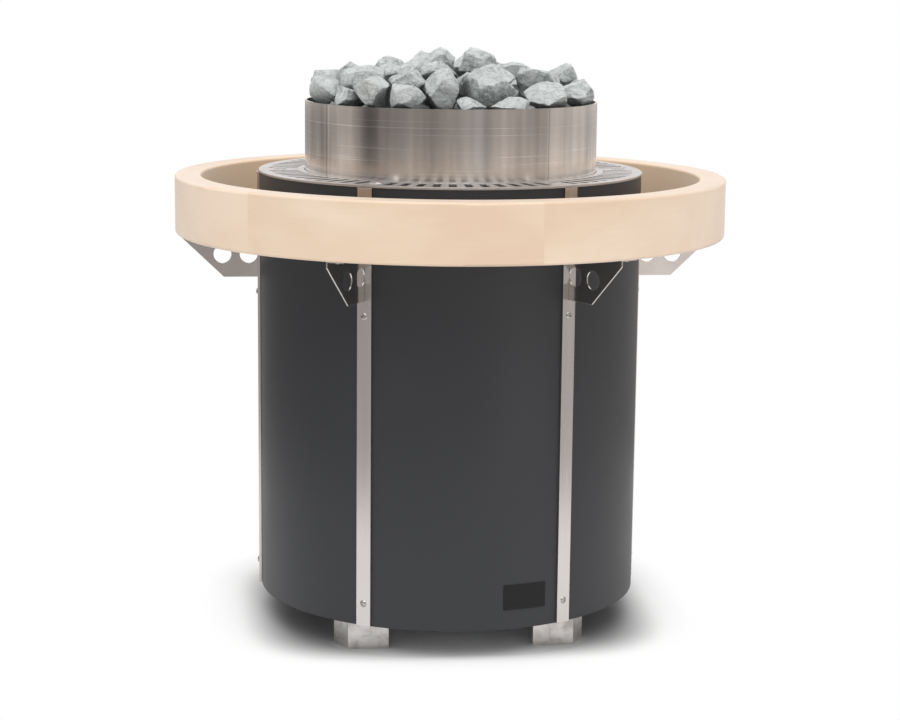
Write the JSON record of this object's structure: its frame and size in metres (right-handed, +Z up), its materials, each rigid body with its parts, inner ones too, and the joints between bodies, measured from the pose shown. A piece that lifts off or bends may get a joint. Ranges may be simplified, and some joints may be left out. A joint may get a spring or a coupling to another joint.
{
  "type": "sauna heater stove",
  "caption": "Free-standing round electric sauna heater: dark jacket with steel cover strips, slotted top plate, stone-filled drum, wooden guard rail on brackets, folded sheet legs",
  "frame": {"origin": "bottom centre: on the floor under the middle of the round body, in the plane of the legs' lower edges", "axes": "+Z up along the body's axis, -Y to the front (the panel with the badge plate), +X to the right of someone facing the front from outside"},
  "size_m": [0.864, 0.864, 0.9011],
  "materials": {
    "galvanised_steel": "zinc-coated sheet, matt",
    "leg_steel": "brushed stainless sheet",
    "jacket_coating": "anthracite powder coat, satin",
    "strip_steel": "stainless, fine brushed",
    "bracket_steel": "stainless, bright rolled",
    "rail_wood": "light hardwood, sanded, unvarnished",
    "plate_steel": "stainless, fine brushed",
    "drum_steel": "stainless, rolled and brushed round",
    "grate_steel": "heat-tinted stainless",
    "element_sheath": "dark oxidised heating tube",
    "fastener_steel": "stainless",
    "ceramic": "steatite, unglazed",
    "lead_silicone": "silicone insulation",
    "gland_plastic": "black polyamide",
    "badge_black": "black, satin, blank",
    "stone": "crushed grey-green rock, rough"
  },
  "bodies": {
    "root": {"base_plate": "galvanised_steel", "leg_front_left": "leg_steel", "leg_front_right": "leg_steel", "leg_rear_left": "leg_steel", "leg_rear_right": "leg_steel", "panel_front": "jacket_coating", "panel_front_right": "jacket_coating", "panel_rear_right": "jacket_coating", "panel_rear": "jacket_coating", "panel_rear_left": "jacket_coating", "panel_front_left": "jacket_coating", "upright_front_right": "galvanised_steel", "upright_right": "galvanised_steel", "upright_rear_right": "galvanised_steel", "upright_rear_left": "galvanised_steel", "upright_left": "galvanised_steel", "upright_front_left": "galvanised_steel", "strip_front_right": "strip_steel", "strip_right": "strip_steel", "strip_rear_right": "strip_steel", "strip_rear_left": "strip_steel", "strip_left": "strip_steel", "strip_front_left": "strip_steel", "bracket_front_right": "bracket_steel", "bracket_right": "bracket_steel", "bracket_rear_right": "bracket_steel", "bracket_rear_left": "bracket_steel", "bracket_left": "bracket_steel", "bracket_front_left": "bracket_steel", "rail_segment_1": "rail_wood", "rail_segment_2": "rail_wood", "rail_segment_3": "rail_wood", "rail_segment_4": "rail_wood", "rail_segment_5": "rail_wood", "rail_segment_6": "rail_wood", "top_plate": "plate_steel", "plate_screws": "fastener_steel", "stone_drum": "drum_steel", "stone_grate": "grate_steel", "heat_shield": "galvanised_steel", "element_carrier": "galvanised_steel", "heating_element_1": "element_sheath", "heating_element_2": "element_sheath", "heating_element_3": "element_sheath", "heating_element_4": "element_sheath", "heating_element_5": "element_sheath", "heating_element_6": "element_sheath", "terminal_insulators": "ceramic", "internal_leads": "lead_silicone", "terminal_box": "galvanised_steel", "terminal_box_lid": "galvanised_steel", "terminal_block": "ceramic", "cable_gland": "gland_plastic", "badge_plate": "badge_black", "lower_stones": "stone", "upper_stones": "stone", "strip_screws": "fastener_steel", "leg_bolts": "fastener_steel", "bracket_fasteners": "fastener_steel"}
  },
  "joints": []
}
